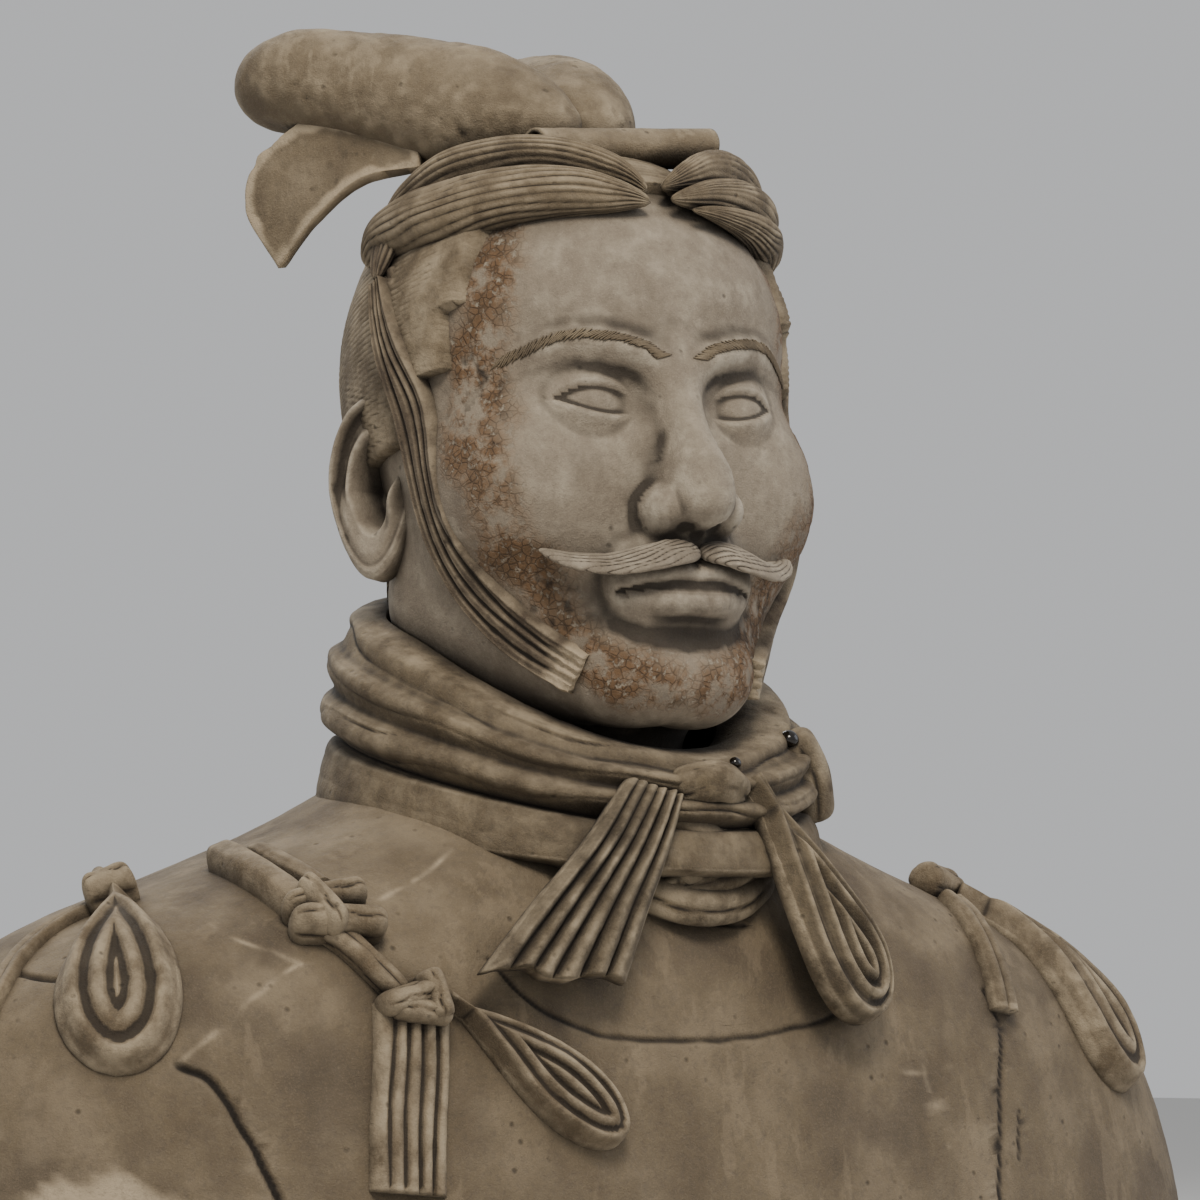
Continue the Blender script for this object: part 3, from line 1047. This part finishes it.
def torsoRings(rows, columns):
    # from the floor of the neck's socket up its wall, over the lip and down the outside
    radius, floor, lip = socket["radius"], socket["floor"], socket["lip"]
    profile = [(r, floor) for r in (0.5, 14, 28, 42, 53)]
    profile += [(radius, z) for z in np.linspace(floor + 2, lip - 6, 24)]
    profile += [(radius + 1, lip - 3), (radius + 4, lip), (radius + 12, lip), (radius + 22, lip - 3)]
    inner = clearOfHead(turned(profile, columns))
    rings = []
    for height, halfWidth, front, back in curve(torso["sections"], rows):
        square = 2.0 + 0.5 * float(step(70, 250, halfWidth))
        turn = fullTurn(columns)
        x = np.sign(np.sin(turn)) * np.abs(np.sin(turn)) ** (2 / square)
        y = -np.sign(np.cos(turn)) * np.abs(np.cos(turn)) ** (2 / square)
        depth = np.where(y < 0, front, back)
        rings.append(np.column_stack((x * halfWidth, torso["centre"] + y * depth, np.full(columns, height))))
    return np.concatenate((inner, np.array(rings)))


def plugRings():
    radius, low, top = socket["plugRadius"], socket["floor"] + socket["seatGap"], socket["plugTop"]
    profile = [(r, low) for r in (0.5, 25, radius - 1.5)]
    profile += [(radius, z) for z in np.linspace(low + 1.5, top - 3, 30)]
    profile += [(radius - 3, top), (25, top), (0.5, top)]
    return turned(profile, socket["plugColumns"])


def crackMark(p):
    depth, shade = np.zeros(len(p)), np.zeros(len(p))
    wobble = np.column_stack([cloud(p, 9, 21 + i) for i in range(3)]) * 0.6
    for line, half, deep, dark in grooves.values():
        path = curve(line, 24)
        near = chain(p + wobble, path, np.zeros(24))
        depth = np.maximum(depth, hump(near, 0, half, deep))
        shade = np.maximum(shade, hump(near, 0, half * 0.9, dark))
    return depth, shade


barePatch = [(-292, -28, -192), (-264, -58, -172), (-236, -80, -178), (-213, -89, -196)]
mends = [     # the last four, on the back, lie off the clay too
    [(-177, -69, -87), (-201, -69, -103), (-226, -67, -123)],
    [(-198, -13, -65), (-193, -50, -76), (-175, -69, -87)],
    [(-95, -53, -44), (-116, -59, -55), (-135, -63, -65)],
    [(-120, -20, -40), (-106, -50, -52), (-92, -66, -62)],
    [(60, -92, -120), (92, -94, -128), (118, -92, -126)],
    [(100, -70, -76), (106, -84, -98), (104, -94, -128), (112, -98, -156)],
    [(-96, 128, -112), (-88, 136, -150), (-104, 138, -196)],
    [(40, 134, -116), (58, 140, -160), (50, 142, -214)],
    [(-88, 136, -150), (-30, 142, -158), (58, 140, -160)],
    [(120, 96, -66), (134, 112, -86), (128, 122, -104)],
]
mending = {
    "half": 1.1,      # half a joint's width
    "reach": 7,       # how near a line the mesh is finer
    "patchRadius": 7.0, "patchDepth": 0.5, "jointDepth": 0.35, "jointShade": 0.9,
}


def paleMark(p):
    # the outer clay is rubbed off in a ragged patch by the arm opening; joints are filled with pale mortar
    near = chain(p, curve(barePatch, 12), np.full(12, mending["patchRadius"]))
    near = near + 6 * cloud(p, 11, 41) + 2 * cloud(p, 4, 42)
    shade = 1 - step(-1.5, 1.5, near)
    sunk = mending["patchDepth"] * shade
    wobble = p + np.column_stack([cloud(p, 12, 43 + i) for i in range(3)]) * 1.2
    for line in mends:
        joint = hump(chain(wobble, curve(line, 16), np.zeros(16)), 0, mending["half"], 1)
        joint *= step(-0.5, 0.1, cloud(p, 8, 46))
        shade = np.maximum(shade, mending["jointShade"] * joint)
        sunk = np.maximum(sunk, mending["jointDepth"] * joint)
    return sunk, shade


def refineGrooves(shape):
    for _ in range(2):
        shape.verts.ensure_lookup_table()
        places = moved(np.array([v.co for v in shape.verts]), torsoBack)
        near = np.full(len(places), 1e9)
        for line in [groove[0] for groove in grooves.values()] + mends:
            near = np.minimum(near, chain(places, curve(line, 12), np.zeros(12)))
        close = near < mending["reach"]
        edges = [e for e in shape.edges if close[e.verts[0].index] and close[e.verts[1].index]]
        bmesh.ops.subdivide_edges(shape, edges=edges, cuts=1, use_grid_fill=True)
        shape.verts.index_update()


torsoSkin = torsoRings(torso["rows"], torso["columns"])
shoulders = surfaceOf(torsoSkin)
makePiece("torsoSkin", [skin(torsoSkin)], "torso", "firedClayTorso", (0.5, 0.14, 9), "torso",
          {"crack": crackMark, "broken": paleMark}, refineGrooves)
makePiece("neckPlug", [skin(plugRings())], "neck", "firedClayFace", (0.2, 0.08, 8))

# Scarf wound round the neck: two folded tiers above a plain collar, high at the nape, low at the throat
scarf = {
    "thickness": 26, "columns": 340, "points": 100, "creases": 7.5, "creaseDepth": 1.9,
    "reach": 84, "top": -6, "napeRise": 96, "napeRound": 28, "bottom": -52, "bottomRise": 34,
    "collar": (0.58, 0.64),     # share of the way down where the creases fade out
    "tiers": [   # share of the way down, and spread
        (0, -0.15), (0.04, 0.04), (0.16, 0.14), (0.21, 0.36), (0.28, 0.4), (0.37, 0.27), (0.43, 0.44),
        (0.52, 0.46), (0.6, 0.22), (0.64, 0.12), (0.68, 0.36), (0.97, 0.54), (1, 0.3),
    ],
    "rolls": [   # start, middle, end, half width and half height of each fold at the throat
        ((-15, -84, -20), (0, -93, -17), (15, -84, -20), 8, 9),
        ((-30, -76, -30), (-6, -84, -36), (16, -86, -50), 9, 7),
        ((26, -78, -32), (6, -84, -42), (-14, -86, -54), 8, 6),
        ((30, -80, -46), (10, -86, -54), (-22, -84, -60), 6, 5),
        ((-44, -72, -52), (0, -87, -64), (44, -72, -52), 8, 6),
        ((62, -62, 4), (74, -60, -12), (80, -56, -30), 10, 8),
    ],
    "fanLeft": [(-38, -86, -17), (-62, -93, -40), (-90, -97, -64), (-114, -98, -88)],
    "fanRight": [(-14, -90, -24), (-26, -97, -44), (-40, -102, -68), (-52, -104, -94)],
    "loop": [(20, -87, -16), (36, -96, -46), (54, -102, -78), (72, -103, -106)],
    "loopWidth": 44, "loopLength": 106, "loopThickness": 8, "loopRidges": (1.8, 7.5),     # depth and spacing
    "fanThickness": 5, "fanFlutes": (2.6, 6), "fanRagged": (-1.2, -0.6, -2.4),            # depth and number
}


def scarfRings(columns, points):
    result = []
    across = np.linspace(0, 1, points)
    spread = curve(scarf["tiers"], 200)
    spread = np.interp(across, spread[:, 0], spread[:, 1]) * scarf["thickness"]
    collar = step(*scarf["collar"], across)
    fade = 1 - 0.8 * collar
    for turn in fullTurn(columns):
        back = (1 - math.cos(turn)) / 2
        top = scarf["top"] + scarf["napeRise"] * back - scarf["napeRound"] * back**2
        bottom = scarf["bottom"] + scarf["bottomRise"] * back
        slow = np.column_stack((np.full((points, 2), (math.cos(turn), math.sin(turn))) * 1.7, across * 1.8))
        drift = cloud(slow, 1, 81) + 0.25 * cloud(slow * 2.3, 1, 82)
        strength = 0.65 + 0.5 * cloud(slow * 1.3, 1, 83)
        crease = 1 - strands(across * scarf["creases"] + drift)
        out = spread - scarf["creaseDepth"] * crease * strength * fade
        outer = np.stack((out, top + (bottom - top) * across), -1)
        outer[:, 1] += 1.8 * drift * (1 - collar)
        inner = np.array([(-16, bottom - 6), (-28, (top + bottom) / 2), (-27, top - 3), (-16, top + 2)])
        section = np.concatenate((outer, inner))
        reach = scarf["reach"] + section[:, 0]
        x, y = reach * 1.03 * math.sin(turn), -3 - reach * 0.98 * math.cos(turn)
        result.append(np.column_stack((x, y, section[:, 1])))
    return np.array(result)


scarfShell = clearOfHead(scarfRings(scarf["columns"], scarf["points"]))
makePiece("scarf", [skin(scarfShell, "hoop")], "torso", "foldedClayScarf", (0.5, 0.14, 5))


def knotFolds(count, points):
    facing = np.tile((0.0, -1.0, 0.0), (count, 1))
    for seed, (start, middle, end, wide, tall) in enumerate(scarf["rolls"], 90):
        path = curve([start, middle, end], count)
        yield sweep(path, facing, ropeSections(count, points, [wide] * 3, [tall] * 3, 5, 1.4, seed))


def spanRings(left, right, heights, back, facing):
    # a band between two edge curves
    count, points = heights.shape
    left, right = curve(left, count)[:, None], curve(right, count)[:, None]
    share = np.linspace(0, 1, points)[None, :, None]
    outer = left + (right - left) * share + facing * heights[..., None]
    inner = left + (right - left) * share - facing * back
    return np.concatenate((outer, inner[:, ::-1]), 1)


def scarfEnds(count, points):
    facing = unit((-0.25, -0.95, 0.2))
    heights = fluted(count, points, scarf["fanThickness"], *scarf["fanFlutes"], 4)
    along, across = np.repeat(np.linspace(0, 3, count), points), np.tile(np.linspace(0, 9, points), count)
    spread = np.column_stack((along, across, np.zeros(count * points)))
    heights = heights + 0.7 * cloud(spread, 1, 95).reshape(count, points)
    fan = spanRings(scarf["fanLeft"], scarf["fanRight"], heights, 4, facing)
    ragged = cloud(np.column_stack((np.linspace(0, 7, points), np.zeros((points, 2)))), 1, 96)
    ragged = np.concatenate((ragged, ragged[::-1]))[:, None]
    late = np.linspace(0, 1, count)[:, None, None] ** 4
    yield fan + late * ragged * np.array(scarf["fanRagged"])
    line = curve(scarf["loop"], count)
    facing = np.tile(unit((0.3, -0.95, 0.2)), (count, 1))
    sizes = [scarf[label] for label in ("loopWidth", "loopLength", "loopThickness")]
    widths, heights = teardrop(count, points, *sizes, *scarf["loopRidges"])
    yield sweep(line, facing, bandSections(widths, heights, np.full(count, 4.0)))


makePiece("scarfKnot", map(skin, knotFolds(48, 40)), "torso", "foldedClayScarf", (0.4, 0.1, 9))
scarfStrips = [skin(rings, "strip") for rings in scarfEnds(80, 81)]
makePiece("scarfEnds", scarfStrips, "torso", "hangingClayEnds", (0.3, 0.1, 9))

# Two drops of resin dried on the scarf's upper folds
drops = {"places": [((60, -66, 2), 3.4), ((16, -90, -7), 2.2)], "rings": 24, "columns": 32, "slump": 0.8}


def dropParts():
    wrapped = surfaceOf(np.concatenate((scarfShell, scarfShell[:1])))
    for place, radius in drops["places"]:
        spot, normal, _, _ = wrapped.find_nearest(Vector(place))
        rise = np.linspace(0.05, math.pi - 0.05, drops["rings"])[:, None]
        turn = fullTurn(drops["columns"])
        sag = 1 + drops["slump"] * (1 - np.cos(rise)) * 0.2
        x, y = np.sin(rise) * np.cos(turn) * radius * sag, np.sin(rise) * np.sin(turn) * radius * sag
        z = np.repeat(np.cos(rise) * radius, drops["columns"], 1)
        yield skin(np.array(spot) + np.stack((x, y, z), -1))


makePiece("resinDrops", dropParts(), "torso", "driedResin", (0.05, 0.02, 10))

# Straps, knots, ribbon loops and cords on the armour
ties = {"loopThickness": 10, "strapThickness": 9, "count": 70, "points": 45}


def tieParts():
    loop, strap, count, points = ties["loopThickness"], ties["strapThickness"], ties["count"], ties["points"]
    root = np.full(count, 4.0)

    def band(line, width, thickness, depth, flutes):
        path, facing = lay(shoulders, line, count)
        heights = fluted(count, points, thickness, depth, flutes, width)
        return skin(sweep(path, facing, bandSections(np.full(count, float(width)), heights, root)), "strip")

    def ribbon(line, width, pitch=6.0):
        path, facing = lay(shoulders, line, count)
        length = np.linalg.norm(np.diff(path, axis=0), axis=1).sum()
        widths, heights = teardrop(count, points, width, length, loop, 1.5, pitch)
        return skin(sweep(path, facing, bandSections(widths, heights, root)), "strip")

    def knot(place, along, length, wide, tall):
        reach = np.array(along) * length / 2
        path, facing = lay(shoulders, [place - reach, place, place + reach], count, tall * 0.5)
        return skin(sweep(path, facing, ropeSections(count, points, [wide] * 3, [tall] * 3, 5, 1.1, 7)))

    def cord(line, wide, tall):
        path, facing = lay(shoulders, line, count, tall * 0.4)
        return skin(sweep(path, facing, ropeSections(count, points, [wide] * 3, [tall] * 3, 4, 1.2, 9)))

    yield band([(-160, 2, -48), (-165, -25, -57), (-166, -48, -66), (-163, -62, -75)], 13, strap, 1.2, 1)
    yield band([(-151, -8, -47), (-153, -30, -53), (-152, -50, -61)], 10, strap * 0.7, 0.8, 1)
    yield cord([(-164, -60, -74), (-156, -68, -82), (-148, -76, -91), (-139, -83, -101)], 5, 6)
    yield knot((-157, -58, -68), unit((0.9, -0.2, 0.25)), 34, 5, 9)
    yield knot((-157, -65, -77), unit((0.95, -0.3, 0.0)), 36, 5.5, 10)
    yield knot((-161, -60, -73), unit((0.3, -0.5, -0.9)), 24, 5, 12)
    yield knot((-140, -83, -101), unit((0.9, -0.2, 0.3)), 24, 5, 10)
    yield knot((-136, -86, -105), unit((0.95, -0.2, -0.1)), 24, 5, 9)
    yield knot((-131, -86, -100), unit((0.2, -0.2, -0.9)), 18, 5, 11)
    yield ribbon([(-124, -88, -99), (-104, -92, -112), (-80, -97, -130), (-52, -101, -152)], 30)
    yield band([(-137, -87, -102), (-140, -90, -125), (-144, -94, -146), (-147, -98, -170)], 31, 5, 1.6, 5)
    yield knot((-201, 16, -64), unit((0.5, 0.9, 0)), 22, 6, 9)
    yield knot((-203, 10, -65), unit((0.9, -0.3, 0.2)), 20, 5, 10)
    yield ribbon([(-204, 6, -64), (-216, -16, -78), (-232, -38, -98), (-247, -58, -127)], 46, 11.0)
    edge = [(-203, 16, -65), (-222, 18, -72), (-244, 8, -84), (-265, -8, -98), (-284, -20, -118)]
    yield band(edge, 9, 4, 0.5, 2)
    yield knot((162, -32, -58), unit((0.9, 0.3, -0.2)), 26, 8, 8)
    yield band([(160, -44, -61), (156, -66, -76), (154, -84, -104)], 13, 5, 1, 2)
    yield ribbon([(168, -38, -60), (192, -46, -78), (216, -58, -104), (238, -62, -136)], 44, 11.0)


onChest, parts = 11, list(tieParts())
makePiece("chestTies", parts[:onChest], "torso", "tiedClayRibbons", (0.3, 0.1, 9))
makePiece("shoulderTies", parts[onChest:], "torso", "tiedClayRibbons", (0.3, 0.1, 12))
print("torso dressed")


# Floor, light and camera
def makeFloor():
    # matt painted studio floor
    bpy.ops.mesh.primitive_plane_add(size=12, location=(0, 0, -0.0005))
    floor = bpy.context.object
    floor.name = "floor"
    floor.data.materials.append(plainMaterial("paintedFloor", "#c9c8c5", Roughness=0.7))


aim = (0, 0, 0.3)
studio = [   # place, power, size and colour of each soft light
    ((-0.9, -1.5, 2.2), 52, 0.8, "#fff4e4"),
    ((1.8, -1.0, 1.1), 10, 1.4, "#f0f4ff"),
    ((0.4, 1.8, 1.7), 26, 1.2, "#ffffff"),
]


def makeLights():
    for i, (place, power, size, colour) in enumerate(studio):
        light = bpy.data.lights.new(f"softLight{i}", "AREA")
        light.energy, light.size, light.color = power, size, linear(colour)[:3]
        holder = bpy.data.objects.new(f"softLight{i}", light)
        holder.location = place
        holder.rotation_mode = "QUATERNION"
        holder.rotation_quaternion = (Vector(aim) - Vector(place)).to_track_quat("-Z", "Y")
        bpy.context.scene.collection.objects.link(holder)
    world = bpy.data.worlds.new("paleRoom")
    bpy.context.scene.world = world
    world.use_nodes = True
    sky = world.node_tree.nodes["Background"]
    sky.inputs["Color"].default_value = linear("#d9dadc")
    sky.inputs["Strength"].default_value = 0.78


camera = {
    "azimuth": -38, "elevation": -4, "distance": 2.3, "sensor": 36,
    "width": 0.4706, "right": 0.0137, "up": 0.057,      # of what it sees at the head, and its middle
}


def makeCamera():
    azimuth, elevation = math.radians(camera["azimuth"]), math.radians(camera["elevation"])
    back = Vector((math.sin(azimuth) * math.cos(elevation), -math.cos(azimuth) * math.cos(elevation),
                   math.sin(elevation)))
    right = Vector((math.cos(azimuth), math.sin(azimuth), 0))
    lens = bpy.data.cameras.new("camera")
    lens.sensor_width = camera["sensor"]
    lens.lens = camera["sensor"] * camera["distance"] / camera["width"]
    holder = bpy.data.objects.new("camera", lens)
    look = right * camera["right"] + Vector((0, 0, figure["chinHeight"] + camera["up"]))
    holder.location = look + back * camera["distance"]
    holder.rotation_mode = "QUATERNION"
    holder.rotation_quaternion = (-back).to_track_quat("-Z", "Y")
    bpy.context.scene.collection.objects.link(holder)
    bpy.context.scene.camera = holder


makeFloor()
makeLights()
makeCamera()
print("scene ready")
